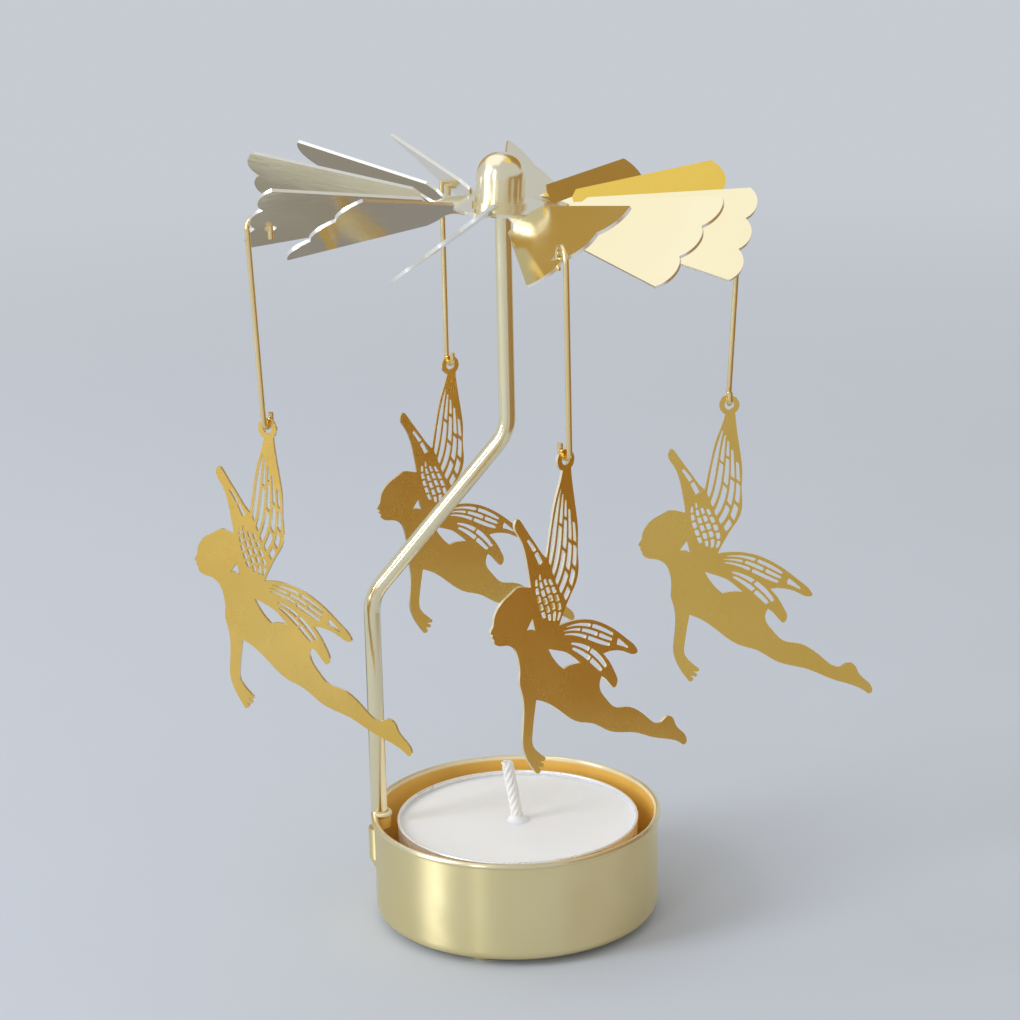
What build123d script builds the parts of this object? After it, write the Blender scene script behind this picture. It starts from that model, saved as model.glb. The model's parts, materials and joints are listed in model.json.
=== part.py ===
from build123d import *
import os
from math import cos, radians, sin

# Rotary tea-light carousel: a pressed cup holds a tea light and a bent post, a twelve-bladed rotor
# stands on the needle point of the post, and four pierced fairies hang from the rotor on wire hooks.
# Millimetres, +Z up, origin on the table under the middle of the cup, feet of the fairies towards +X.

# Tea light
TEALIGHT_DIAMETER = 39.0
TEALIGHT_HEIGHT = 14.8
TEALIGHT_WALL = 0.25
TEALIGHT_LIP_RADIUS = 0.25
TEALIGHT_CORNER = 2.0
TEALIGHT_SHIFT = 0.3
WAX_BELOW_LIP = 0.9
WAX_MENISCUS = 0.3
WICK_DIAMETER = 2.0
WICK_ABOVE_WAX = 9.8
WICK_LEAN = 1.5
WICK_BEND_RADIUS = 6.0
TAB_DIAMETER = 13.0
TAB_SHEET = 0.3
TAB_NECK_HEIGHT = 3.0

# Base cup, sized round the tea light
CUP_PLAY = 2.9
CUP_SHEET = 0.5
CUP_CORNER = 1.6
CUP_RIM_ABOVE_TEALIGHT = 0.8
RIM_BEAD_RADIUS = 0.45
FOOT_COUNT = 3
FOOT_FIRST_AZIMUTH = -107.0
FOOT_CIRCLE_RADIUS = 19.2
FOOT_HEIGHT = 1.0
FOOT_PAD_RADIUS = 1.25
FOOT_FLARE = 0.75
SEAT_GAP = 0.05

# Post and the holder that is lanced out of the cup wall
POST_DIAMETER = 2.6
POST_CLEARANCE = 0.04
POST_AZIMUTH = 180.0
POST_INSET = 0.35
POST_BEND_RADIUS = 7.0
POST_LOW_BEND_HEIGHT = 54.0
POST_HIGH_BEND_HEIGHT = 80.4
NEEDLE_LENGTH = 4.5
NEEDLE_TIP_RADIUS = 0.12
NEEDLE_GAP = 0.06
STRAP_HEIGHT = 2.2
POCKET_STRAIGHT = 5.2
POCKET_TAPER = 3.4
LANCE_SLIT = 0.2

# Rotor. The blades are twisted and bent down at their necks by hand, so each has its own angles.
ROTOR_HEIGHT = 115.45
ROTOR_SHEET = 0.5
BLADE_COUNT = 12
BLADE_FIRST_AZIMUTH = -72.5
BLADE_TWISTS = (37, 40, 40, 40, 40, 40, 40, 40, 40, 36, 35, 40)
BLADE_DROOPS = (-0.6, 0, 2.8, 0, 4.8, 1.8, 0, 0, -1.0, 3.4, 0.5, 0)
HUB_DISC_RADIUS = 9.6
NECK_HALF_WIDTH = 1.7
NECK_LENGTH = 2.4
SHOULDER_LENGTH = 1.4
BLADE_GAP_ANGLE = 2.0
BLADE_CORNER_RADIUS = 38.0
SCALLOP_NOTCH_RADIUS = 37.2
SCALLOP_DEPTH = 1.4
ROTOR_LEAN = 4.0
ROTOR_LEAN_AZIMUTH = 20.0

# Hub cap
CAP_RADIUS = 3.75
CAP_WALL = 0.4
CAP_HEIGHT = 8.1
CAP_FLANGE_RADIUS = 4.15
CAP_FLANGE_HEIGHT = 0.55
CAP_SKIRT_INSET = 0.5
CAP_ROLL_HEIGHT = 0.4

# Hangers, front, right, back and left. They are bent by hand, so each has its own drop.
HANGER_WIRE = 0.85
HANGER_DROPS = (28.6, 29.2, 30.5, 30.6)
HOOK_RADIUS = 1.8
HOOK_CLEARANCE = 1.0
HOOK_HOLE_CLEARANCE = 0.5
HOOK_TAIL = 1.8
HOOK_FLAT = 0.1
LOOP_CLEARANCE = 0.35
LOOP_TAIL = 2.0

# Fairies. The outline is drawn on a grid, and the grid is set to the drop from the ring to the toes.
FAIRY_DROP = 49.4
FAIRY_GRID_DROP = 49.4
FAIRY_SHEET = 0.45
RING_RADIUS = 1.6
RING_HOLE_RADIUS = 0.75
RING_SEAT_GAP = 0.07
WING_RIB = 0.36
WING_CELL_ROUNDING = 0.12
FAIRY_NAMES = ("front", "right", "back", "left")
FAIRY_YAWS = (40.0, 3.0, 30.0, -28.0)
FAIRY_BLADES = (0, 3, 6, 9)

# Places worked out from the sizes above
tealight_radius = TEALIGHT_DIAMETER / 2
cup_inner = tealight_radius + CUP_PLAY
cup_outer = cup_inner + CUP_SHEET
cup_floor = FOOT_HEIGHT + CUP_SHEET
tealight_bottom = cup_floor + SEAT_GAP
tealight_top = tealight_bottom + TEALIGHT_HEIGHT
rim_height = tealight_top + CUP_RIM_ABOVE_TEALIGHT
wax_top = tealight_top - WAX_BELOW_LIP

post_radius = POST_DIAMETER / 2
post_bore = post_radius + POST_CLEARANCE
holder_radius = post_bore + CUP_SHEET
post_distance = cup_inner - POST_INSET
wall_beyond_post = POST_INSET + CUP_SHEET / 2
strap_bottom = rim_height - STRAP_HEIGHT
pocket_top = strap_bottom - LANCE_SLIT
pocket_bottom = pocket_top - POCKET_STRAIGHT
taper_bottom = pocket_bottom - POCKET_TAPER

rotor_top = ROTOR_HEIGHT + ROTOR_SHEET
rotor_middle = ROTOR_HEIGHT + ROTOR_SHEET / 2
cap_top = rotor_top + CAP_HEIGHT
cap_inner = CAP_RADIUS - CAP_WALL
skirt_outer = CAP_RADIUS - CAP_SKIRT_INSET
needle_top = cap_top - CAP_WALL - NEEDLE_GAP

neck_end = HUB_DISC_RADIUS + NECK_LENGTH
blade_half_angle = 180.0 / BLADE_COUNT - BLADE_GAP_ANGLE / 2
blade_corner = Vector(BLADE_CORNER_RADIUS, 0).rotate(Axis.Z, blade_half_angle)
scallop_notch = Vector(SCALLOP_NOTCH_RADIUS, blade_corner.Y / 3)
hook_hole_radius = HANGER_WIRE / 2 + HOOK_HOLE_CLEARANCE
loop_radius = FAIRY_SHEET / 2 + HANGER_WIRE / 2 + LOOP_CLEARANCE
fairy_grid = FAIRY_DROP / FAIRY_GRID_DROP
ring_below_wire = RING_HOLE_RADIUS - HANGER_WIRE / 2 - RING_SEAT_GAP

# The rotor rocks on the needle point, and rests leaning to one side
needle_point = Pos(0, 0, needle_top)
lean_turn = Rot(0, 0, ROTOR_LEAN_AZIMUTH)
rotor_lean = needle_point * lean_turn * Rot(0, ROTOR_LEAN, 0) * lean_turn.inverse() * needle_point.inverse()


def revolved(*edges):
    """Solid of revolution round Z from a closed outline given in radius and height."""
    return revolve(Plane.XZ * make_face(edges), axis=Axis.Z)


def upright(shape, distance, azimuth, height):
    """The shape set at a distance and azimuth from the middle, at a height."""
    return Rot(0, 0, azimuth) * Pos(distance, 0, height) * shape


def standing_cylinder(radius, bottom, top):
    """Cylinder on the Z axis between two heights."""
    return Pos(0, 0, (bottom + top) / 2) * Cylinder(radius, top - bottom)


def standing_cone(low_radius, high_radius, bottom, top):
    """Cone on the Z axis between two heights."""
    return Pos(0, 0, (bottom + top) / 2) * Cone(low_radius, high_radius, top - bottom)


def wall_side(size, inside):
    """Box round the post's axis that ends at mid-wall of the cup, on the wall's inner or outer side."""
    side = -1 if inside else 1
    return Pos(wall_beyond_post + side * size / 2, 0, 0) * Box(size, size, 4 * size)


def bent_wire(points, radii, diameter):
    """Round wire along straight runs joined by arcs."""
    path = FilletPolyline(*points, radius=radii)
    section = Plane(origin=path @ 0, z_dir=path % 0) * Circle(diameter / 2)
    return sweep(section, path=path)


def cup_shell(outer_radius, sheet, corner, bottom, top):
    """Round pressed cup with a rounded bottom corner."""
    inner_radius = outer_radius - sheet
    corner_centre = (outer_radius - corner, bottom + corner)
    return revolved(
        Line((0, bottom), (outer_radius - corner, bottom)),
        CenterArc(corner_centre, corner, 270, 90),
        Line((outer_radius, bottom + corner), (outer_radius, top)),
        Line((outer_radius, top), (inner_radius, top)),
        Line((inner_radius, top), (inner_radius, bottom + corner)),
        CenterArc(corner_centre, corner - sheet, 270, 90),
        Line((outer_radius - corner, bottom + sheet), (0, bottom + sheet)),
        Line((0, bottom + sheet), (0, bottom)),
    )


def base_cup():
    """Pressed cup with a rolled rim, dimple feet and a lanced holder for the post."""
    cup = cup_shell(cup_outer, CUP_SHEET, CUP_CORNER, FOOT_HEIGHT, rim_height)
    bead_circle = cup_outer + RIM_BEAD_RADIUS - CUP_SHEET + RIM_BEAD_RADIUS / 4
    cup += Pos(0, 0, rim_height) * Torus(bead_circle, RIM_BEAD_RADIUS)
    pad_top_radius = FOOT_PAD_RADIUS + FOOT_FLARE
    for foot in range(FOOT_COUNT):
        azimuth = FOOT_FIRST_AZIMUTH + foot * 360 / FOOT_COUNT
        dimple = standing_cone(FOOT_PAD_RADIUS, pad_top_radius, 0, FOOT_HEIGHT)
        pit_low = FOOT_PAD_RADIUS - CUP_SHEET / 2
        pit = standing_cone(pit_low, pit_low + FOOT_FLARE, CUP_SHEET, cup_floor)
        cup += upright(dimple, FOOT_CIRCLE_RADIUS, azimuth, 0)
        cup -= upright(pit, FOOT_CIRCLE_RADIUS, azimuth, 0)

    outer_side = wall_side(6 * holder_radius, False)
    inner_side = wall_side(6 * holder_radius, True)
    pocket = standing_cylinder(holder_radius, pocket_bottom, pocket_top)
    pocket += standing_cone(CUP_SHEET / 2, holder_radius, taper_bottom, pocket_bottom)
    strap = standing_cylinder(holder_radius, strap_bottom, rim_height)
    strap += Pos(0, 0, rim_height) * Torus(holder_radius - CUP_SHEET / 2, RIM_BEAD_RADIUS)
    bore = standing_cylinder(post_bore, pocket_bottom, rim_height + 4 * RIM_BEAD_RADIUS)
    bore += standing_cone(CUP_SHEET / 8, post_bore, taper_bottom + CUP_SHEET, pocket_bottom)
    slit_width = 2 * holder_radius
    slit = Pos(0, 0, pocket_top + LANCE_SLIT / 2) * Box(slit_width, slit_width, LANCE_SLIT)
    cup += upright(pocket & outer_side, post_distance, POST_AZIMUTH, 0)
    cup += upright(strap & inner_side, post_distance, POST_AZIMUTH, 0)
    cup -= upright(bore, post_distance, POST_AZIMUTH, 0)
    cup -= upright(slit, post_distance, POST_AZIMUTH, 0)
    return cup


def post_rod():
    """Bent wire from the holder to the middle, with a needle point at the top."""
    needle_base = needle_top - NEEDLE_LENGTH
    foot = Vector(post_distance, 0, 0).rotate(Axis.Z, POST_AZIMUTH)
    points = [
        foot + Vector(0, 0, pocket_bottom),
        foot + Vector(0, 0, POST_LOW_BEND_HEIGHT),
        Vector(0, 0, POST_HIGH_BEND_HEIGHT),
        Vector(0, 0, needle_base),
    ]
    rod = bent_wire(points, [POST_BEND_RADIUS, POST_BEND_RADIUS], POST_DIAMETER)
    return rod + standing_cone(post_radius, NEEDLE_TIP_RADIUS, needle_base, needle_top)


def wick_shape():
    """Wick that stands in the sustainer and leans a little above the wax."""
    points = [
        (0, 0, tealight_bottom + TEALIGHT_WALL + TAB_SHEET),
        (0, 0, wax_top),
        (-WICK_LEAN, 0, wax_top + WICK_ABOVE_WAX),
    ]
    return bent_wire(points, [WICK_BEND_RADIUS], WICK_DIAMETER)


def tab_shape():
    """Sustainer: a thin disc with a neck that grips the wick."""
    bottom = tealight_bottom + TEALIGHT_WALL
    disc = standing_cylinder(TAB_DIAMETER / 2, bottom, bottom + TAB_SHEET)
    neck = standing_cylinder(WICK_DIAMETER / 2 + TAB_SHEET, bottom + TAB_SHEET, bottom + TAB_NECK_HEIGHT)
    core = standing_cylinder(WICK_DIAMETER / 2, bottom + TAB_SHEET, bottom + TAB_NECK_HEIGHT)
    return disc + (neck - core)


def tealight_cup():
    """Thin cup of the tea light with a small rolled lip."""
    lip_circle = tealight_radius - TEALIGHT_LIP_RADIUS
    wall_radius = lip_circle + TEALIGHT_WALL / 2
    lip_height = tealight_top - TEALIGHT_LIP_RADIUS
    shell = cup_shell(wall_radius, TEALIGHT_WALL, TEALIGHT_CORNER, tealight_bottom, lip_height)
    return shell + Pos(0, 0, lip_height) * Torus(lip_circle, TEALIGHT_LIP_RADIUS)


def tealight_wax():
    """Wax that fills the tea light, drawn up a little at the wall."""
    radius = tealight_radius - TEALIGHT_LIP_RADIUS - TEALIGHT_WALL / 2
    bottom = tealight_bottom + TEALIGHT_WALL
    corner = TEALIGHT_CORNER - TEALIGHT_WALL
    edge = 2 * WAX_MENISCUS
    blank = revolved(
        Line((0, bottom), (radius - corner, bottom)),
        CenterArc((radius - corner, bottom + corner), corner, 270, 90),
        Line((radius, bottom + corner), (radius, wax_top + WAX_MENISCUS)),
        Spline((radius, wax_top + WAX_MENISCUS), (radius - edge, wax_top), tangents=[(-1, -2), (-1, 0)]),
        Line((radius - edge, wax_top), (0, wax_top)),
        Line((0, wax_top), (0, bottom)),
    )
    return blank - tab_shape() - wick_shape()


def blade_azimuth(blade):
    """Direction of a blade's middle line, seen from above."""
    return BLADE_FIRST_AZIMUTH + blade * 360 / BLADE_COUNT


def blade_frame(blade):
    """Place of a blade: X along its middle line, Y anticlockwise, Z up, at mid-sheet."""
    return rotor_lean * Pos(0, 0, rotor_middle) * Rot(0, 0, blade_azimuth(blade))


def mirrored(point):
    """The same point on the other side of a blade's middle line."""
    return Vector(point.X, -point.Y)


def blade_outline():
    """Flat blade: neck, shoulders, straight sides and three scallops at the tip."""
    neck = Vector(neck_end, NECK_HALF_WIDTH)
    shoulder = Vector(neck_end + SHOULDER_LENGTH, 0).rotate(Axis.Z, blade_half_angle)
    side_lobe = (blade_corner + scallop_notch) / 2 + Vector(SCALLOP_DEPTH, 0)
    middle_lobe = Vector(SCALLOP_NOTCH_RADIUS + SCALLOP_DEPTH, 0)
    return make_face([
        Line(neck, shoulder),
        Line(shoulder, blade_corner),
        ThreePointArc(blade_corner, side_lobe, scallop_notch),
        ThreePointArc(scallop_notch, middle_lobe, mirrored(scallop_notch)),
        ThreePointArc(mirrored(scallop_notch), mirrored(side_lobe), mirrored(blade_corner)),
        Line(mirrored(blade_corner), mirrored(shoulder)),
        Line(mirrored(shoulder), mirrored(neck)),
        Line(mirrored(neck), neck),
    ])


def blade_sheet(blade):
    """Place of a blade's sheet in its frame: bent down at the hub, and turned about the middle line."""
    hub_edge = Pos(HUB_DISC_RADIUS, 0, 0)
    return hub_edge * Rot(0, BLADE_DROOPS[blade], 0) * hub_edge.inverse() * Rot(BLADE_TWISTS[blade], 0, 0)


def hook_place():
    """Middle of a hanger's hook in the sheet, a little behind a notch of the tip."""
    behind_notch = HOOK_RADIUS - HANGER_WIRE / 2 - HOOK_CLEARANCE
    return mirrored(scallop_notch) - Vector(behind_notch, 0)


def rotor_blade(blade):
    """One blade in its frame: a neck that twists out of the hub disc, and the flat blade."""
    root = HUB_DISC_RADIUS - NECK_HALF_WIDTH
    section = Plane.YZ * Rectangle(2 * NECK_HALF_WIDTH, ROTOR_SHEET)
    twisted = blade_sheet(blade) * Pos(neck_end, 0, 0) * section
    neck = loft([Pos(HUB_DISC_RADIUS, 0, 0) * section, twisted], ruled=True)
    root_tab = Pos((root + HUB_DISC_RADIUS) / 2, 0, 0) * Box(
        HUB_DISC_RADIUS - root, 2 * NECK_HALF_WIDTH, ROTOR_SHEET
    )
    outline = blade_outline()
    if blade in FAIRY_BLADES:
        place = hook_place()
        outline -= Pos(place.X - HOOK_RADIUS, place.Y) * Circle(hook_hole_radius)
    sheet = extrude(outline, amount=ROTOR_SHEET / 2, both=True)
    return root_tab + neck + blade_sheet(blade) * sheet


def rotor_wheel():
    """Stamped rotor: hub disc and twelve twisted blades in one sheet."""
    hub = standing_cylinder(HUB_DISC_RADIUS, ROTOR_HEIGHT, rotor_top)
    hub = rotor_lean * (hub - standing_cylinder(skirt_outer, ROTOR_HEIGHT, rotor_top))
    blades = [blade_frame(blade) * rotor_blade(blade) for blade in range(BLADE_COUNT)]
    return hub.fuse(*[solid for blade in blades for solid in blade.solids()])


def hub_cap():
    """Dome with a flange on the disc and a skirt that is rolled over under it."""
    dome_centre = cap_top - CAP_RADIUS
    skirt_inner = skirt_outer - CAP_WALL
    roll_bottom = ROTOR_HEIGHT - CAP_ROLL_HEIGHT
    flange_top = rotor_top + CAP_FLANGE_HEIGHT
    return rotor_lean * revolved(
        Line((skirt_inner, roll_bottom), (CAP_FLANGE_RADIUS, roll_bottom)),
        Line((CAP_FLANGE_RADIUS, roll_bottom), (CAP_FLANGE_RADIUS, ROTOR_HEIGHT)),
        Line((CAP_FLANGE_RADIUS, ROTOR_HEIGHT), (skirt_outer, ROTOR_HEIGHT)),
        Line((skirt_outer, ROTOR_HEIGHT), (skirt_outer, rotor_top)),
        Line((skirt_outer, rotor_top), (CAP_FLANGE_RADIUS, rotor_top)),
        Line((CAP_FLANGE_RADIUS, rotor_top), (CAP_FLANGE_RADIUS, flange_top)),
        Line((CAP_FLANGE_RADIUS, flange_top), (CAP_RADIUS, flange_top)),
        Line((CAP_RADIUS, flange_top), (CAP_RADIUS, dome_centre)),
        CenterArc((0, dome_centre), CAP_RADIUS, 0, 90),
        Line((0, cap_top), (0, cap_top - CAP_WALL)),
        CenterArc((0, dome_centre), cap_inner, 0, 90),
        Line((cap_inner, dome_centre), (cap_inner, flange_top)),
        Line((cap_inner, flange_top), (skirt_inner, rotor_top)),
        Line((skirt_inner, rotor_top), (skirt_inner, roll_bottom)),
    )


def hang_point(blade):
    """Where a hanger swings: the middle of its hook, in the sheet of its blade."""
    return (blade_frame(blade) * blade_sheet(blade) * Pos(hook_place())).position


def fairy_plane(blade, drop, yaw):
    """Plane of a hanging fairy: X towards its feet, Y up, origin in the middle of its ring."""
    ring = hang_point(blade) - Vector(0, 0, drop + ring_below_wire)
    turn = radians(yaw)
    return Plane(origin=ring, x_dir=(cos(turn), sin(turn), 0), z_dir=(sin(turn), -cos(turn), 0))


def hanger(blade, drop, yaw):
    """Wire hooked over the edge of a blade into its hole, with a loop that carries a fairy's ring."""
    pivot = hang_point(blade)
    outward = Vector(1, 0, 0).rotate(Axis.Z, blade_azimuth(blade))
    up = Vector(0, 0, 1)
    side = fairy_plane(blade, drop, yaw).z_dir
    if side.dot(outward) < 0:
        side = -side
    loop = pivot - up * drop
    hook_bend = HOOK_RADIUS - HOOK_FLAT / 2
    loop_bend = loop_radius - HOOK_FLAT / 2
    points = [
        pivot - outward * HOOK_RADIUS - up * HOOK_TAIL,
        pivot - outward * HOOK_RADIUS + up * HOOK_RADIUS,
        pivot + outward * HOOK_RADIUS + up * HOOK_RADIUS,
        loop + side * loop_radius,
        loop - side * loop_radius,
        loop - side * loop_radius + up * LOOP_TAIL,
    ]
    return bent_wire(points, [hook_bend, hook_bend, loop_bend, loop_bend], HANGER_WIRE)


def stroke_edges(strokes):
    """A line through two points, an arc through three or a smooth curve through more, for each stroke."""
    kinds = {2: Line, 3: ThreePointArc}
    return [kinds.get(len(stroke), Spline)(*stroke) for stroke in strokes]


def closed_outline(*strokes):
    """Closed wire of strokes, each of which starts where the last one ended."""
    return Wire(stroke_edges(strokes))


def rounded_end(first, last, beyond):
    """Arc from one side of a cell to the other, swelling in the direction given."""
    swell = beyond.normalized() * WING_CELL_ROUNDING
    return ThreePointArc(first, (first + last) / 2 + swell, last)


def lace_cell(near_edge, far_edge, across, along):
    """One opening of a wing, between shares across from one edge to the other and along both."""
    inset = WING_RIB / 2
    run = [along[0] + (along[1] - along[0]) * step / 4 for step in range(5)]

    def place(share, distance, aside):
        start = near_edge @ distance
        width = (far_edge @ distance) - start
        slant = abs(width.normalized().cross(near_edge % distance).Z)
        return start + width * share + width.normalized() * (aside / slant)

    rising = [place(across[0], distance, inset) for distance in run]
    falling = [place(across[1], distance, -inset) for distance in reversed(run)]
    return Wire([
        Spline(*rising),
        rounded_end(rising[-1], falling[0], rising[-1] - rising[-2]),
        Spline(*falling),
        rounded_end(falling[-1], rising[0], falling[-1] - falling[-2]),
    ])


def lace(near_edge, far_edge, columns):
    """Openings of a wing: each column is a list of the heights where its cells start and end."""
    cells = []
    for column, cuts in enumerate(columns):
        across = (column / len(columns), (column + 1) / len(columns))
        for along in cuts:
            cells.append(lace_cell(near_edge, far_edge, across, along))
    return cells


def drawn(*points):
    """Points of the fairy's drawing grid, at the fairy's own size."""
    return [Vector(*point) * fairy_grid for point in points]


def fairy_outline():
    """Outer edge of a fairy, its ring included, in its own plane."""
    ring_right = Vector(RING_RADIUS, 0).rotate(Axis.Z, -54)
    ring_left = Vector(RING_RADIUS, 0).rotate(Axis.Z, -113)
    ring = [ring_right, Vector(0, RING_RADIUS), ring_left]
    big_wing_front = [
        ring_left, *drawn((-1.2, -3.3), (-2.1, -5.7), (-2.8, -8.5), (-3.4, -11.3), (-3.9, -13.8)),
    ]
    small_wing = [
        big_wing_front[-1],
        *drawn((-4.8, -12.9), (-5.9, -11.3), (-7.1, -9.6), (-8.5, -7.5), (-9.2, -6.9), (-9.7, -7.5)),
        *drawn((-9.0, -9.5), (-8.0, -11.8), (-7.5, -14.2), (-7.2, -16.0), (-7.0, -17.5)),
    ]
    hair = [
        small_wing[-1],
        *drawn((-8.1, -17.2), (-9.3, -17.0), (-10.6, -17.6), (-12.1, -18.4), (-13.3, -19.5), (-13.9, -20.6)),
    ]
    brow = [hair[-1], *drawn((-14.0, -21.2), (-14.1, -21.7))]
    nose = [brow[-1], *drawn((-14.5, -22.3), (-14.6, -22.6), (-14.2, -22.9))]
    lips = [nose[-1], *drawn((-14.3, -23.3), (-14.0, -23.7))]
    throat_to_hand = [
        lips[-1],
        *drawn((-13.9, -24.3), (-13.3, -24.8), (-11.8, -25.1), (-10.2, -26.1), (-9.5, -27.9), (-9.3, -29.8)),
        *drawn((-9.4, -31.5), (-9.0, -33.0), (-8.7, -35.0), (-8.9, -38.5), (-9.0, -41.2), (-8.2, -43.5)),
        *drawn((-6.7, -45.8)),
    ]
    low_finger = [throat_to_hand[-1], *drawn((-6.1, -46.1), (-5.8, -45.6))]
    middle_finger = drawn((-5.55, -45.3), (-5.2, -45.1), (-5.35, -44.75))
    high_finger = drawn((-5.15, -44.45), (-4.85, -44.15), (-5.1, -43.8))
    low_notch, high_notch = drawn((-6.25, -45.1), (-5.9, -44.4))
    arm_back = [
        high_finger[-1], *drawn((-6.3, -42.7), (-7.2, -41.4), (-7.2, -39.5), (-6.8, -36.8), (-6.4, -34.7)),
    ]
    belly = [
        arm_back[-1],
        *drawn((-2.5, -37.0), (1.8, -40.2), (4.4, -41.1), (7.8, -43.2), (12.7, -44.7), (16.8, -46.6)),
        *drawn((20.9, -48.1), (22.9, -49.4)),
    ]
    foot_and_leg = [
        belly[-1],
        *drawn((23.5, -49.1), (23.4, -48.2), (22.3, -46.9), (21.2, -45.6), (20.7, -44.5), (19.6, -43.9)),
        *drawn((18.3, -44.5), (17.0, -44.3), (15.4, -43.0), (13.4, -41.3), (11.4, -40.3), (8.9, -39.7)),
        *drawn((7.2, -38.0), (6.0, -36.2), (6.3, -34.2)),
    ]
    short_lobe = [
        foot_and_leg[-1],
        *drawn((7.3, -35.0), (8.2, -36.1), (8.9, -36.6), (9.4, -36.0), (9.1, -34.5), (8.1, -32.6)),
        *drawn((6.7, -30.8)),
    ]
    long_lobe = [
        short_lobe[-1],
        *drawn((9.3, -30.9), (11.2, -31.6), (12.7, -32.3), (13.5, -32.2), (13.2, -31.3), (11.9, -30.0)),
        *drawn((9.8, -28.2), (7.1, -26.3), (4.4, -25.0), (1.7, -24.4), (-1.8, -24.5)),
    ]
    big_wing_back = [
        long_lobe[-1],
        *drawn((-0.6, -22.1), (0.5, -20.3), (1.6, -18.6), (2.1, -16.4), (2.0, -14.0), (2.1, -11.0)),
        *drawn((1.8, -8.0), (1.35, -5.0)),
        ring_right,
    ]
    return closed_outline(
        ring, big_wing_front, small_wing, hair, brow, nose, lips, throat_to_hand,
        low_finger, [low_finger[-1], low_notch], [low_notch, middle_finger[0]],
        middle_finger, [middle_finger[-1], high_notch], [high_notch, high_finger[0]],
        high_finger, arm_back, belly, foot_and_leg, short_lobe, long_lobe, big_wing_back,
    )


def guide(*points):
    """Guide curve along one edge of a field of wing openings."""
    return Spline(*drawn(*points))


def wing_openings():
    """Pierced cells of the wings, between pairs of guide curves that run from root to tip."""
    big_front = guide((-3.75, -14.4), (-3.15, -11.0), (-2.15, -6.6), (-0.6, -2.5))
    big_back = guide((-1.3, -22.2), (1.35, -18.2), (1.85, -15.5), (1.8, -11.0), (1.3, -6.6), (0.75, -2.5))
    base_front = guide((-4.6, -23.8), (-5.7, -20.9), (-6.3, -18.4), (-6.2, -15.9))
    base_back = guide((-1.8, -23.8), (-1.15, -22.2), (-1.5, -20.4), (-2.5, -18.1), (-3.8, -15.4))
    spike_front = guide((-5.4, -15.0), (-6.4, -12.8), (-8.0, -10.2))
    spike_back = guide((-4.4, -14.5), (-5.5, -12.3), (-7.4, -9.8))
    long_top = guide((-1.2, -24.95), (1.7, -24.75), (4.3, -25.35), (7.0, -26.65), (9.2, -28.2))
    long_low = guide((-2.2, -26.3), (2.2, -27.3), (5.6, -29.1), (8.7, -30.3))
    tip_top = guide((9.5, -28.7), (10.7, -29.7), (12.0, -31.0))
    tip_low = guide((9.1, -30.2), (10.4, -30.7), (11.8, -31.5))
    short_top = guide((-1.0, -27.2), (2.4, -28.0), (5.8, -30.3), (7.8, -33.2))
    short_low = guide((-1.4, -28.0), (1.6, -29.6), (4.2, -31.9), (6.4, -34.0))
    big_columns = [
        [(0.04, 0.86)],
        [(0.04, 0.50), (0.54, 0.82)],
        [(0.04, 0.32), (0.36, 0.60), (0.64, 0.78)],
        [(0.05, 0.20), (0.24, 0.44), (0.48, 0.72)],
        [(0.07, 0.14), (0.18, 0.28), (0.32, 0.46), (0.50, 0.64)],
    ]
    base_columns = [
        [(0.16, 0.26), (0.32, 0.42), (0.48, 0.58), (0.64, 0.74), (0.80, 0.90)],
        [(0.08, 0.18), (0.24, 0.34), (0.40, 0.50), (0.56, 0.66), (0.72, 0.82), (0.88, 0.96)],
        [(0.05, 0.20), (0.26, 0.36), (0.42, 0.52), (0.58, 0.68), (0.74, 0.84)],
        [(0.04, 0.16), (0.22, 0.32), (0.38, 0.48), (0.54, 0.64), (0.70, 0.80)],
    ]
    spike_columns = [[(0.08, 0.42), (0.52, 0.90)]]
    long_columns = [
        [(0.10, 0.50), (0.55, 0.94)],
        [(0.08, 0.34), (0.39, 0.66), (0.71, 0.94)],
        [(0.12, 0.48), (0.53, 0.92)],
    ]
    tip_columns = [[(0.10, 0.84)]]
    short_columns = [[(0.16, 0.50), (0.55, 0.94)], [(0.22, 0.60), (0.65, 0.92)]]
    openings = lace(big_front, big_back, big_columns)
    openings += lace(base_front, base_back, base_columns)
    openings += lace(spike_front, spike_back, spike_columns)
    openings += lace(long_top, long_low, long_columns)
    openings += lace(tip_top, tip_low, tip_columns)
    openings += lace(short_top, short_low, short_columns)
    return openings


def fairy_shape():
    """Flat pierced fairy in its own plane, with its ring at the origin."""
    nape = drawn((-6.8, -22.2), (-8.0, -23.8), (-7.1, -23.8), (-6.3, -24.2))
    nape_gap = closed_outline([nape[0], nape[1]], [nape[1], nape[2], nape[3]], [nape[3], nape[0]])
    wing_side = drawn((-3.9, -27.5), (-2.0, -28.2), (-0.4, -28.9), (1.0, -30.0), (2.3, -31.2))
    back_side = drawn((2.3, -31.2), (0.6, -31.0), (-1.0, -31.3), (-2.6, -29.7), (-3.9, -27.5))
    back_gap = closed_outline(wing_side, back_side[:3], back_side[2:])
    ring_hole = Wire([Edge.make_circle(RING_HOLE_RADIUS)])
    face = Face(fairy_outline(), [ring_hole, nape_gap, back_gap, *wing_openings()])
    return extrude(face, amount=FAIRY_SHEET / 2, both=True)


def save(name, shape):
    """Write one piece to its own file."""
    export_step(shape, f"parts/{name}.step")


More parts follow.
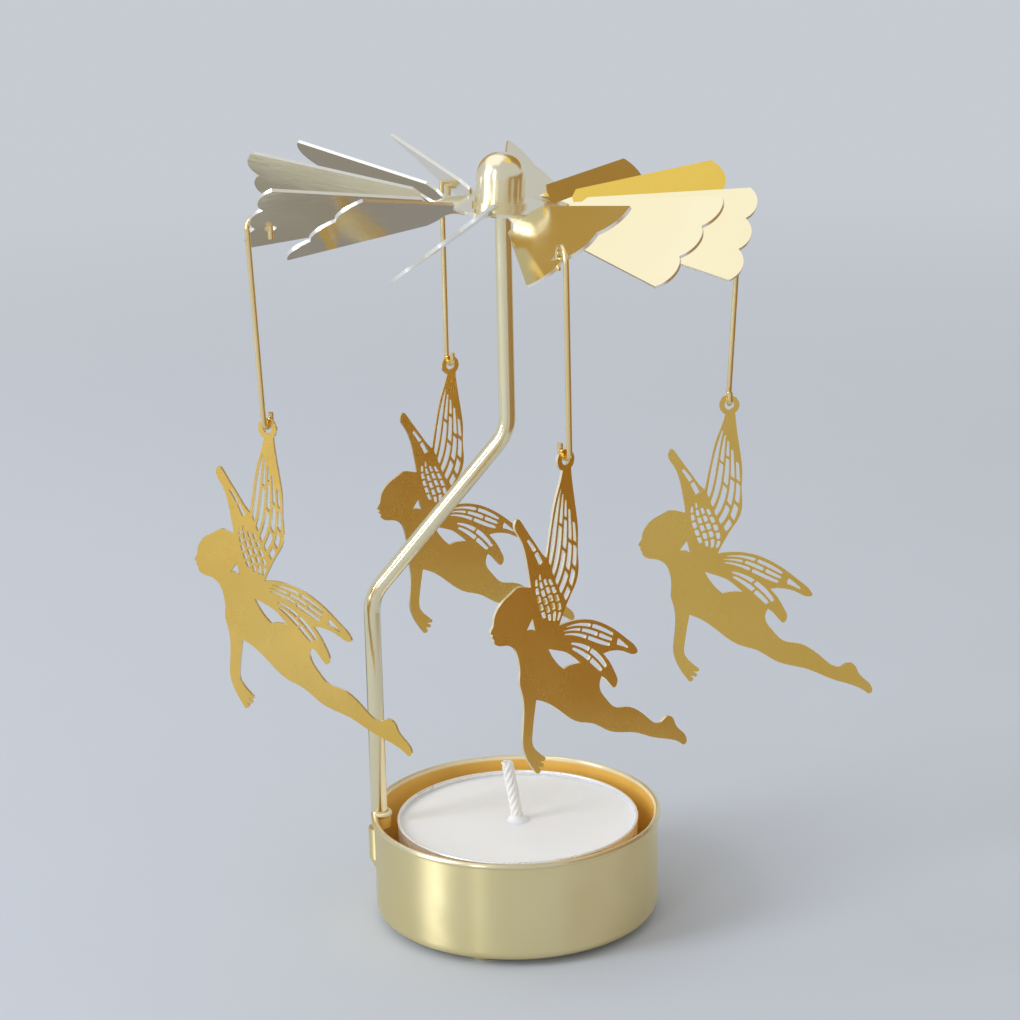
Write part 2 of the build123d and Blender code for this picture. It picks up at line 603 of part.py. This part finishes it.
os.makedirs("parts", exist_ok=True)
save("base_cup", base_cup())
save("post_rod", post_rod())
save("rotor_wheel", rotor_wheel())
save("hub_cap", hub_cap())
tealight = {
    "tealight_cup": tealight_cup(),
    "tealight_wax": tealight_wax(),
    "tealight_wick": wick_shape(),
    "wick_tab": tab_shape(),
}
for name, shape in tealight.items():
    save(name, Pos(TEALIGHT_SHIFT, 0, 0) * shape)
fairy = fairy_shape()
for name, blade, drop, yaw in zip(FAIRY_NAMES, FAIRY_BLADES, HANGER_DROPS, FAIRY_YAWS):
    save(f"hanger_{name}", hanger(blade, drop, yaw))
    save(f"fairy_{name}", fairy_plane(blade, drop, yaw) * fairy)
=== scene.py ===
import json
from math import cos, radians, sin

import bmesh
import bpy
from mathutils import Euler, Matrix, Vector


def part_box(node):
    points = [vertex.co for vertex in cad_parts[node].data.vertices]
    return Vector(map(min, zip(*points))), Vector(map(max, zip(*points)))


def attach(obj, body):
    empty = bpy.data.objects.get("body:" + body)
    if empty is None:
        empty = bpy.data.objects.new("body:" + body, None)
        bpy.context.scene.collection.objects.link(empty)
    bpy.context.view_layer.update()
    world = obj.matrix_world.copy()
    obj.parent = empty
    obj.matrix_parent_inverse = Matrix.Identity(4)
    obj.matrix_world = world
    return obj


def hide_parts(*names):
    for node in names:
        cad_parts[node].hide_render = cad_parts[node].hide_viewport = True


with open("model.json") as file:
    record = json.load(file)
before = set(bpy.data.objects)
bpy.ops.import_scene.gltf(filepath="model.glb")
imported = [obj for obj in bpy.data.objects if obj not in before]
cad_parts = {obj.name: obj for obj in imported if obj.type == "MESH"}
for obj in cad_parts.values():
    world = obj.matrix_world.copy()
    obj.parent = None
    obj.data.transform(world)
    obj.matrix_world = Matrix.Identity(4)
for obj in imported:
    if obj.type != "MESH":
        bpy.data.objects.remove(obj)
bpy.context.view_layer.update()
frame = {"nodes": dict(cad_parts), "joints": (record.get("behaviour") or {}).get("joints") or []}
nodes = frame["nodes"]
joints = {joint["name"]: joint for joint in frame["joints"]}
scene = bpy.context.scene
scene.view_settings.view_transform = "Standard"

MM = 0.001
SIDES = ("front", "right", "back", "left")

# Rotor: how it leans on the needle point, and how its blades stand
ROTOR_LEAN = radians(4.0)
ROTOR_LEAN_AZIMUTH = radians(20.0)
BLADE_FIRST_AZIMUTH = radians(-72.5)
BLADE_STEP = radians(30.0)
BLADE_TWIST = radians(40.0)
HUB_REACH = 12.5 * MM
needle_point = Vector(joints["rotor_spin"]["pos_m"])

# Cup: the wall and rim round its hollow, and the feet under it
RIM_WIDTH = 1.0 * MM
RIM_HEIGHT = 0.8 * MM
FOOT_HEIGHT = 1.0 * MM
rim_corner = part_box("base_cup")[1]
cup_inner = rim_corner.x - RIM_WIDTH

# Tea light: the wax, and the wick that leans out of it
WAX_MENISCUS = 0.3 * MM
wax_low, wax_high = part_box("tealight_wax")
wick_low, wick_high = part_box("tealight_wick")
wax_top = wax_high.z - WAX_MENISCUS
wick_middle = (wax_low.x + wax_high.x) / 2
wick_radius = (wick_high.y - wick_low.y) / 2
wick_height = wick_high.z - wax_top
wick_slope = -(wick_middle - wick_low.x - wick_radius) / wick_height


# Node helpers

class Finish:
    """A material under construction: its node tree, and short ways to add and join nodes."""

    def __init__(self, name):
        self.material = bpy.data.materials.new(name)
        self.material.use_nodes = True
        self.tree = self.material.node_tree
        self.shader = self.tree.nodes["Principled BSDF"]
        coordinates = self.tree.nodes.new("ShaderNodeTexCoord")
        self.place = coordinates.outputs["Object"]
        self.normal = coordinates.outputs["Normal"]

    def join(self, source, target):
        if hasattr(source, "is_output"):
            self.tree.links.new(source, target)
        else:
            target.default_value = source

    def math(self, operation, first, second=0.0):
        node = self.tree.nodes.new("ShaderNodeMath")
        node.operation = operation
        self.join(first, node.inputs[0])
        self.join(second, node.inputs[1])
        return node.outputs[0]

    def product(self, first, second):
        return self.math("MULTIPLY", first, second)

    def ramp(self, value, low, high, start, end):
        node = self.tree.nodes.new("ShaderNodeMapRange")
        node.interpolation_type = "SMOOTHSTEP"
        self.join(value, node.inputs["Value"])
        node.inputs["From Min"].default_value = low
        node.inputs["From Max"].default_value = high
        node.inputs["To Min"].default_value = start
        node.inputs["To Max"].default_value = end
        return node.outputs["Result"]

    def mapped(self, source, stretch=(1, 1, 1), turn=(0, 0, 0), shift=(0, 0, 0), kind="POINT"):
        node = self.tree.nodes.new("ShaderNodeMapping")
        node.vector_type = kind
        self.join(source, node.inputs["Vector"])
        node.inputs["Scale"].default_value = stretch
        node.inputs["Rotation"].default_value = turn
        if kind == "POINT":
            node.inputs["Location"].default_value = shift
        return node.outputs["Vector"]

    def noise(self, vector, scale, detail=4.0, roughness=0.55):
        node = self.tree.nodes.new("ShaderNodeTexNoise")
        self.join(vector, node.inputs["Vector"])
        node.inputs["Scale"].default_value = scale
        node.inputs["Detail"].default_value = detail
        node.inputs["Roughness"].default_value = roughness
        return node.outputs["Fac"]

    def parts(self, vector):
        node = self.tree.nodes.new("ShaderNodeSeparateXYZ")
        self.join(vector, node.inputs[0])
        return node.outputs

    def vector_value(self, operation, first, second=(0, 0, 0)):
        node = self.tree.nodes.new("ShaderNodeVectorMath")
        node.operation = operation
        self.join(first, node.inputs[0])
        self.join(second, node.inputs[1])
        return node.outputs["Value"]

    def from_axis(self, vector):
        """Distance from the Z axis."""
        return self.vector_value("LENGTH", self.mapped(vector, stretch=(1, 1, 0)))

    def mix(self, share, first, second):
        node = self.tree.nodes.new("ShaderNodeMix")
        node.data_type = "RGBA"
        self.join(share, node.inputs["Factor"])
        self.join((*first, 1) if isinstance(first, tuple) else first, node.inputs[6])
        self.join((*second, 1) if isinstance(second, tuple) else second, node.inputs[7])
        return node.outputs[2]

    def bump(self, height, strength, distance):
        node = self.tree.nodes.new("ShaderNodeBump")
        self.join(height, node.inputs["Height"])
        node.inputs["Strength"].default_value = strength
        node.inputs["Distance"].default_value = distance
        self.tree.links.new(node.outputs["Normal"], self.shader.inputs["Normal"])

    def set(self, **values):
        for name, value in values.items():
            socket = self.shader.inputs[name.replace("_", " ")]
            if isinstance(value, tuple) and len(value) == 3 and socket.type == "RGBA":
                value = (*value, 1)
            self.join(value, socket)


SMUDGE_SCALE = 90.0
BLOTCH_SCALE = 28.0
SPECK_SCALE = 900.0
SPECK_GOLD = (0.98, 0.90, 0.66)
GRAIN_HEIGHT = 0.08 * MM


def wear_finish(finish, plain, worn, smooth, dull, stretch, grain_scale, grain_depth):
    """Gold plate with a drawn grain, soft smudges and a little change of colour."""
    smudge = finish.noise(finish.place, SMUDGE_SCALE, 5.0)
    blotch = finish.noise(finish.place, BLOTCH_SCALE, 3.0)
    grain = finish.noise(finish.mapped(finish.place, stretch), grain_scale, 3.0, 0.6)
    speck = finish.ramp(finish.noise(finish.place, SPECK_SCALE, 2.0), 0.70, 0.78, 0.0, 1.0)
    colour = finish.mix(finish.ramp(blotch, 0.35, 0.68, 0.0, 1.0), plain, worn)
    colour = finish.mix(finish.product(speck, 0.25), colour, SPECK_GOLD)
    rough = finish.ramp(smudge, 0.36, 0.70, smooth, dull)
    rough = finish.math("ADD", rough, finish.product(grain, 0.06))
    height = finish.math("ADD", grain, finish.product(speck, 0.35))
    finish.bump(height, grain_depth, GRAIN_HEIGHT)
    finish.set(Metallic=1.0)
    return colour, rough


def paint_edge_highlight(finish, face, colour, rough, edge_highlight_colour, edge_rough):
    """Painted highlight on the cut edges: a paler colour, and rougher metal, where a face stands square to
    its sheet.
    """
    share = finish.ramp(face, 0.55, 0.80, 1.0, 0.0)
    finish.set(Base_Color=finish.mix(share, colour, edge_highlight_colour))
    finish.set(Roughness=finish.math("MAXIMUM", rough, finish.product(share, edge_rough)))


# Finishes

# Painted glow: the hollow's gold becomes a bright orange, non-metallic colour that stands in for light
# bounced between the gold walls inside the cup.
HOLLOW_GLOW_PAINT = (1.0, 0.60, 0.12)
# Painted highlight: a paler band along the top of the rim bead, standing in for the bright line of light it
# catches.
RIM_HIGHLIGHT_PAINT = (0.90, 0.80, 0.53)


def cup_gold():
    """Satin champagne gold, spun round so that highlights stand upright, with a painted orange glow in the
    hollow and a painted highlight along the rim.
    """
    finish = Finish("cup_gold")
    colour, rough = wear_finish(
        finish, plain=(0.87, 0.74, 0.38), worn=(0.89, 0.77, 0.43), smooth=0.26, dull=0.34,
        stretch=(0.2, 0.2, 1), grain_scale=1400.0, grain_depth=0.12)
    height = finish.parts(finish.place)[2]
    radius = finish.from_axis(finish.place)
    within = finish.ramp(radius, cup_inner + 0.05 * MM, cup_inner + 0.40 * MM, 1.0, 0.0)
    level = finish.mapped(finish.place, stretch=(1, 1, 0))
    outward = finish.math("DIVIDE", finish.vector_value("DOT_PRODUCT", level, finish.normal), radius)
    upward = finish.parts(finish.normal)[2]
    facing = finish.ramp(finish.math("SUBTRACT", upward, outward), -0.1, 0.2, 0.0, 1.0)
    above_feet = finish.ramp(height, FOOT_HEIGHT - 0.1 * MM, FOOT_HEIGHT + 0.1 * MM, 0.0, 1.0)
    # Mask of the painted glow: inside the rim, facing in or up, above the feet; there the metal gives way to
    # the orange colour.
    hollow = finish.product(finish.product(within, facing), above_feet)
    colour = finish.mix(hollow, colour, HOLLOW_GLOW_PAINT)
    # Painted highlight along the top of the rim.
    rim = finish.ramp(height, rim_corner.z - RIM_HEIGHT, rim_corner.z - 0.35 * MM, 0.0, 1.0)
    colour = finish.mix(rim, colour, RIM_HIGHLIGHT_PAINT)
    spun = finish.tree.nodes.new("ShaderNodeTangent")
    spun.direction_type = "RADIAL"
    spun.axis = "Z"
    finish.set(
        Base_Color=colour, Roughness=rough, Metallic=finish.math("SUBTRACT", 1.0, hollow),
        Anisotropic=0.85, Anisotropic_Rotation=0.25, Tangent=spun.outputs[0])
    return finish.material


def wire_gold(name, plain, worn, smooth, dull, grain_depth):
    """Bright drawn metal with fine lines along its run."""
    finish = Finish(name)
    colour, rough = wear_finish(
        finish, plain, worn, smooth, dull, stretch=(1, 1, 0.08), grain_scale=1600.0, grain_depth=grain_depth)
    finish.set(Base_Color=colour, Roughness=rough)
    return finish.material


def rotor_gold():
    """Mirror-bright rotor sheet with a painted highlight on the cut edges of every blade."""
    finish = Finish("rotor_gold")
    colour, rough = wear_finish(
        finish, plain=(0.91, 0.80, 0.50), worn=(0.93, 0.83, 0.56), smooth=0.05, dull=0.12,
        stretch=(0.3, 1, 1), grain_scale=1100.0, grain_depth=0.08)

    turn = Matrix.Rotation(ROTOR_LEAN_AZIMUTH, 3, "Z")
    upright = turn @ Matrix.Rotation(-ROTOR_LEAN, 3, "Y") @ turn.inverted()
    shift = needle_point - upright @ needle_point
    level = finish.mapped(finish.place, turn=upright.to_euler(), shift=shift)
    x, y = finish.parts(level)[:2]
    normal = finish.mapped(finish.normal, turn=upright.to_euler(), kind="VECTOR")
    across, along, up = finish.parts(normal)

    azimuth = finish.math("SUBTRACT", finish.math("ARCTAN2", y, x), BLADE_FIRST_AZIMUTH)
    blade = finish.math("ROUND", finish.math("DIVIDE", azimuth, BLADE_STEP))
    middle = finish.math("ADD", finish.product(blade, BLADE_STEP), BLADE_FIRST_AZIMUTH)
    sideways = finish.math(
        "SUBTRACT",
        finish.product(along, finish.math("COSINE", middle)),
        finish.product(across, finish.math("SINE", middle)))
    flat = finish.math(
        "SUBTRACT", finish.product(up, cos(BLADE_TWIST)), finish.product(sideways, sin(BLADE_TWIST)))
    hub = finish.math("LESS_THAN", finish.from_axis(level), HUB_REACH)
    face = finish.math(
        "MAXIMUM", finish.math("ABSOLUTE", flat), finish.product(finish.math("ABSOLUTE", up), hub))
    # The blades' cut edges get a painted highlight.
    paint_edge_highlight(finish, face, colour, rough, edge_highlight_colour=(0.97, 0.93, 0.84), edge_rough=0.30)
    return finish.material


def fairy_gold(side):
    """Satin mustard gold sheet with a painted highlight on its cut edges."""
    finish = Finish(f"fairy_gold_{side}")
    colour, rough = wear_finish(
        finish, plain=(0.82, 0.53, 0.12), worn=(0.85, 0.57, 0.15), smooth=0.22, dull=0.30,
        stretch=(1, 1, 0.2), grain_scale=1500.0, grain_depth=0.25)
    sheet_normal = tuple(joints[f"fairy_{side}_swing"]["axis"])
    face = finish.math("ABSOLUTE", finish.vector_value("DOT_PRODUCT", finish.normal, sheet_normal))
    # The fairy's cut edges get a painted highlight.
    paint_edge_highlight(finish, face, colour, rough, edge_highlight_colour=(0.97, 0.88, 0.62), edge_rough=0.24)
    return finish.material


def foil():
    """Bright rolled aluminium."""
    finish = Finish("tealight_foil")
    grain = finish.noise(finish.mapped(finish.place, (0.3, 0.3, 1)), 500.0, 2.0)
    finish.set(
        Base_Color=finish.mix(finish.noise(finish.place, 60.0), (0.90, 0.90, 0.89), (0.95, 0.95, 0.94)),
        Roughness=finish.ramp(grain, 0.3, 0.7, 0.24, 0.32), Metallic=0.45)
    finish.bump(grain, 0.05, 0.03 * MM)
    return finish.material


def tinned_sheet():
    """Dull tinned steel of the sustainer."""
    finish = Finish("tab_tin")
    grain = finish.noise(finish.place, 700.0)
    finish.set(
        Base_Color=finish.mix(grain, (0.66, 0.66, 0.66), (0.76, 0.76, 0.76)),
        Roughness=finish.ramp(grain, 0.3, 0.7, 0.30, 0.45), Metallic=1.0)
    return finish.material


def wax():
    """White candle wax: soft, slightly see-through, with a faint cast skin."""
    finish = Finish("wax_white")
    cloud = finish.noise(finish.place, 110.0, 4.0)
    skin = finish.noise(finish.place, 420.0, 3.0)
    finish.set(
        Base_Color=finish.mix(cloud, (0.90, 0.89, 0.87), (0.94, 0.93, 0.92)),
        Roughness=finish.ramp(skin, 0.3, 0.7, 0.36, 0.52),
        Subsurface_Weight=0.35, Subsurface_Radius=(0.004, 0.003, 0.002), Subsurface_Scale=0.4,
        IOR=1.44)
    finish.bump(finish.math("ADD", cloud, finish.product(skin, 0.3)), 0.25, 0.2 * MM)
    return finish.material


def cotton():
    """Waxed cotton, with the yarn's fine fibres."""
    finish = Finish("wick_cotton")
    fibre = finish.noise(finish.mapped(finish.place, (1, 1, 0.25)), 2600.0, 4.0)
    finish.set(
        Base_Color=finish.mix(fibre, (0.86, 0.83, 0.77), (0.95, 0.93, 0.89)),
        Roughness=finish.ramp(fibre, 0.3, 0.7, 0.55, 0.75), Subsurface_Weight=0.2,
        Subsurface_Radius=(0.002, 0.0015, 0.001), Subsurface_Scale=0.3)
    finish.bump(fibre, 0.4, 0.1 * MM)
    return finish.material


def dress(node, material):
    """Give a node's object one finish."""
    mesh = nodes[node].data
    mesh.materials.clear()
    mesh.materials.append(material)


post_wire = wire_gold(
    "post_gold", plain=(0.91, 0.81, 0.52), worn=(0.93, 0.85, 0.58), smooth=0.12, dull=0.20, grain_depth=0.10)
hanger_wire = wire_gold(
    "hanger_gold", plain=(0.88, 0.68, 0.32), worn=(0.91, 0.73, 0.38), smooth=0.14, dull=0.24,
    grain_depth=0.15)
cap_sheet = wire_gold(
    "cap_gold", plain=(0.94, 0.84, 0.56), worn=(0.96, 0.87, 0.62), smooth=0.15, dull=0.22, grain_depth=0.04)
wax_white = wax()
dress("base_cup", cup_gold())
dress("post_rod", post_wire)
dress("rotor_wheel", rotor_gold())
dress("hub_cap", cap_sheet)
dress("tealight_cup", foil())
dress("tealight_wax", wax_white)
dress("wick_tab", tinned_sheet())
for side in SIDES:
    dress(f"hanger_{side}", hanger_wire)
    dress(f"fairy_{side}", fairy_gold(side))


# Wick: yarns laid round a core, with the wax drawn up at its foot

YARN_COUNT = 6
YARN_RADIUS = 0.42 * MM
YARN_TURN = radians(480.0)
YARN_STEPS = 44
WICK_SUNK = 0.4 * MM
COLLAR_REACH = 3.2 * MM
COLLAR_HEIGHT = 1.0 * MM
COLLAR_SUNK = 0.15 * MM
COLLAR_STEPS = 8


def new_piece(name, shape, material):
    """A finished mesh object at the origin."""
    bmesh.ops.recalc_face_normals(shape, faces=shape.faces)
    mesh = bpy.data.meshes.new(name)
    shape.to_mesh(mesh)
    shape.free()
    mesh.materials.append(material)
    mesh.shade_smooth()
    piece = bpy.data.objects.new(name, mesh)
    scene.collection.objects.link(piece)
    return piece


def set_in_wax(shape, sunk):
    """Lean the shape with the wick, and stand it in the wax at a depth."""
    lean = Matrix.Identity(4)
    lean[0][2] = wick_slope
    foot = Matrix.Translation((wick_middle, 0, wax_top))
    bmesh.ops.transform(shape, matrix=foot @ lean @ Matrix.Translation((0, 0, -sunk)), verts=shape.verts)


def laid_wick():
    """Yarns with a steady lay round a core, leaning as they leave the wax."""
    shape = bmesh.new()
    lay_radius = wick_radius - YARN_RADIUS
    height = wick_height + WICK_SUNK
    for yarn in range(YARN_COUNT):
        ring = bmesh.ops.create_circle(shape, cap_ends=True, radius=YARN_RADIUS, segments=10)
        turn = Matrix.Rotation(radians(360.0 * yarn / YARN_COUNT), 4, "Z")
        bmesh.ops.transform(shape, matrix=turn @ Matrix.Translation((lay_radius, 0, 0)), verts=ring["verts"])
        faces = list({face for vert in ring["verts"] for face in vert.link_faces})
        laid = bmesh.ops.spin(
            shape, geom=faces, cent=(0, 0, 0), axis=(0, 0, 1), dvec=(0, 0, height / YARN_STEPS),
            angle=YARN_TURN, steps=YARN_STEPS, use_duplicate=False)
        crown = [item for item in laid["geom_last"] if isinstance(item, bmesh.types.BMFace)]
        bmesh.ops.inset_region(shape, faces=crown, thickness=0.3 * YARN_RADIUS, depth=0.25 * YARN_RADIUS)
    core = bmesh.ops.create_cone(
        shape, cap_ends=True, segments=16, radius1=lay_radius, radius2=lay_radius, depth=height)
    bmesh.ops.translate(shape, verts=core["verts"], vec=(0, 0, height / 2))
    set_in_wax(shape, WICK_SUNK)
    return new_piece("wick_yarns", shape, cotton())


def wax_collar():
    """Wax drawn up round the foot of the wick, steeper towards the wick."""
    shape = bmesh.new()
    inner = wick_radius - YARN_RADIUS / 4
    profile = []
    for step in range(COLLAR_STEPS + 1):
        share = step / COLLAR_STEPS
        radius = COLLAR_REACH + (inner - COLLAR_REACH) * share
        profile.append(shape.verts.new((radius, 0, (COLLAR_HEIGHT + COLLAR_SUNK) * share ** 3)))
    edges = [shape.edges.new(pair) for pair in zip(profile, profile[1:])]
    bmesh.ops.spin(
        shape, geom=profile + edges, cent=(0, 0, 0), axis=(0, 0, 1), angle=radians(360.0), steps=48,
        use_merge=True)
    bmesh.ops.remove_doubles(shape, verts=shape.verts, dist=0.001 * MM)
    bmesh.ops.holes_fill(shape, edges=[edge for edge in shape.edges if edge.is_boundary], sides=0)
    set_in_wax(shape, COLLAR_SUNK)
    return new_piece("wax_collar", shape, wax_white)


wick = laid_wick()
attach(wick, "tealight")
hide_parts("tealight_wick")
collar = wax_collar()
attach(collar, "tealight")


# Floor, light and camera

PALE = (0.57, 0.60, 0.65)
FLOOR_RADIUS = 8.0
FLOOR_LIT = 0.22
FLOOR_EVEN = 0.75
STUDIO_MIDDLE = Vector((0, 0, 0.06))
CAMERA_PLACE = Vector((0.7, -418.4, 190.9)) * MM
CAMERA_LENS = 98.33
CAMERA_SENSOR = 36.0
CAMERA_TILT = radians(16.41)
CAMERA_PAN = radians(0.08)
CAMERA_ROLL = radians(-1.23)


def studio_floor():
    """Wide pale floor that runs out to an even tone."""
    shape = bmesh.new()
    bmesh.ops.create_circle(shape, cap_ends=True, radius=FLOOR_RADIUS, segments=96)
    finish = Finish("floor_pale")
    shade = tuple(0.98 * tone for tone in PALE)
    finish.set(
        Base_Color=finish.mix(finish.noise(finish.place, 35.0), PALE, shade),
        Roughness=0.9, Specular_IOR_Level=0.0)
    even = finish.tree.nodes.new("ShaderNodeEmission")
    even.inputs["Color"].default_value = (*PALE, 1)
    blend = finish.tree.nodes.new("ShaderNodeMixShader")
    far = finish.ramp(finish.from_axis(finish.place), FLOOR_LIT, FLOOR_EVEN, 0.0, 1.0)
    finish.join(far, blend.inputs[0])
    finish.join(finish.shader.outputs[0], blend.inputs[1])
    finish.join(even.outputs[0], blend.inputs[2])
    finish.join(blend.outputs[0], finish.tree.nodes["Material Output"].inputs["Surface"])
    new_piece("floor", shape, finish.material)


def facing_place(azimuth, elevation, distance):
    """Place of a lamp or card that faces the middle of the object."""
    turn, rise = radians(azimuth), radians(elevation)
    towards = Vector((cos(turn) * cos(rise), sin(turn) * cos(rise), sin(rise)))
    facing = towards.to_track_quat("Z", "Y").to_matrix().to_4x4()
    return Matrix.Translation(STUDIO_MIDDLE + distance * towards) @ facing


def toned_card(name, place, width, height, colour):
    """Toned card beside the object, seen only in the metal."""
    shape = bmesh.new()
    bmesh.ops.create_grid(shape, x_segments=1, y_segments=1, size=0.5)
    bmesh.ops.transform(shape, matrix=place @ Matrix.Diagonal((width, height, 1, 1)), verts=shape.verts)
    finish = Finish(name)
    paper = finish.noise(finish.place, 20.0)
    finish.set(Base_Color=finish.mix(paper, colour, tuple(1.2 * tone for tone in colour)), Roughness=0.9)
    card = new_piece(name, shape, finish.material)
    card.visible_camera = False
    card.visible_diffuse = False
    card.visible_shadow = False


def softbox(name, azimuth, elevation, distance, width, height, power, tint=(1, 1, 1)):
    """Soft rectangular lamp that faces the object."""
    lamp = bpy.data.lights.new(name, "AREA")
    lamp.shape = "RECTANGLE"
    lamp.size = width
    lamp.size_y = height
    lamp.energy = power
    lamp.color = tint
    holder = bpy.data.objects.new(name, lamp)
    holder.matrix_world = facing_place(azimuth, elevation, distance)
    scene.collection.objects.link(holder)


def pale_room(strength):
    """Even light from all round, which shows as the floor's own tone."""
    world = bpy.data.worlds.new("pale_room")
    world.use_nodes = True
    tree = world.node_tree
    light = tree.nodes["Background"]
    light.inputs["Color"].default_value = (1, 1, 1, 1)
    light.inputs["Strength"].default_value = strength
    shown = tree.nodes.new("ShaderNodeBackground")
    shown.inputs["Color"].default_value = (*PALE, 1)
    path = tree.nodes.new("ShaderNodeLightPath")
    seen = tree.nodes.new("ShaderNodeMath")
    seen.operation = "MAXIMUM"
    blend = tree.nodes.new("ShaderNodeMixShader")
    tree.links.new(path.outputs["Is Camera Ray"], seen.inputs[0])
    tree.links.new(path.outputs["Is Glossy Ray"], seen.inputs[1])
    tree.links.new(seen.outputs[0], blend.inputs[0])
    tree.links.new(light.outputs[0], blend.inputs[1])
    tree.links.new(shown.outputs[0], blend.inputs[2])
    tree.links.new(blend.outputs[0], tree.nodes["World Output"].inputs["Surface"])
    scene.world = world


def photo_camera():
    """Camera at the photograph's viewing angle."""
    camera = bpy.data.cameras.new("camera")
    camera.lens = CAMERA_LENS
    camera.sensor_width = CAMERA_SENSOR
    camera.clip_start = 0.01
    camera.clip_end = 50.0
    holder = bpy.data.objects.new("camera", camera)
    holder.location = CAMERA_PLACE
    aim = Euler((radians(90) - CAMERA_TILT, 0, CAMERA_PAN), "XYZ").to_matrix()
    holder.rotation_euler = (aim @ Matrix.Rotation(CAMERA_ROLL, 3, "Z")).to_euler()
    scene.collection.objects.link(holder)
    scene.camera = holder


DAYLIGHT = (0.94, 1.0, 1.10)
LAMPLIGHT = (1.0, 0.78, 0.20)
ROOM_LIGHT = 0.64
BESIDE_AND_BEHIND = Matrix.Translation((-0.045, 0.130, 0.0005))

studio_floor()
toned_card("card_right", facing_place(-9.0, 0.0, 0.127), width=0.26, height=0.14, colour=(0.30, 0.18, 0.07))
toned_card("card_behind", facing_place(46.0, 38.0, 0.50), width=0.36, height=0.36, colour=(0.40, 0.23, 0.05))
toned_card("card_far", facing_place(112.0, 20.0, 0.60), width=0.36, height=0.30, colour=(0.50, 0.32, 0.08))
toned_card("card_high", facing_place(16.0, 66.0, 0.90), width=0.38, height=0.38, colour=(0.68, 0.52, 0.14))
toned_card("card_floor", BESIDE_AND_BEHIND, width=0.18, height=0.16, colour=(0.24, 0.24, 0.27))
softbox(
    "key", azimuth=-157.0, elevation=22.0, distance=0.95, width=0.30, height=0.80, power=5.2, tint=DAYLIGHT)
softbox(
    "second", azimuth=-120.0, elevation=18.0, distance=1.1, width=0.12, height=0.80, power=1.2, tint=DAYLIGHT)
softbox("top", azimuth=150.0, elevation=68.0, distance=0.95, width=1.10, height=1.10, power=1.8)
softbox(
    "warm", azimuth=16.0, elevation=66.0, distance=0.80, width=0.34, height=0.34, power=0.10, tint=LAMPLIGHT)
pale_room(ROOM_LIGHT)
photo_camera()
